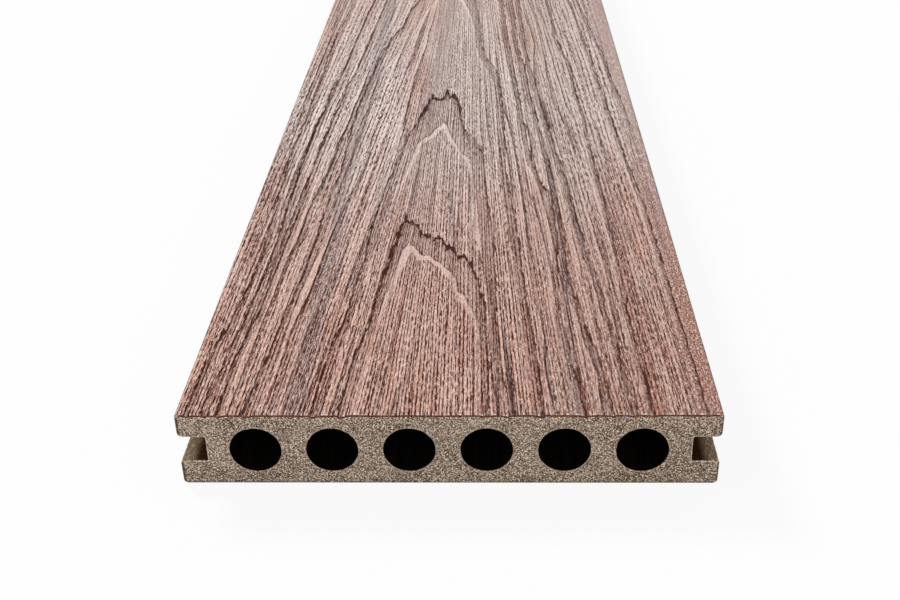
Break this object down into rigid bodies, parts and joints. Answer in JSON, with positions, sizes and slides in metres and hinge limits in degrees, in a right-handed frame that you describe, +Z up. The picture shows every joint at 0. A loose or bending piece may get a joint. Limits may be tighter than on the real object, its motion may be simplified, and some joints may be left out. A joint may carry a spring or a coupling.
{
  "type": "decking board",
  "caption": "Hollow wood-plastic decking board: embossed wood-grain face, a row of round chambers through its length and a clip groove along each side.",
  "frame": {"origin": "middle of the underside, on the surface that the board lies on", "axes": "+Y along the board's length, +X across its width, +Z up through its thickness to the embossed face"},
  "size_m": [0.14, 2.2, 0.022],
  "materials": {
    "board": "matte"
  },
  "bodies": {
    "root": {"board": "board"}
  },
  "joints": []
}
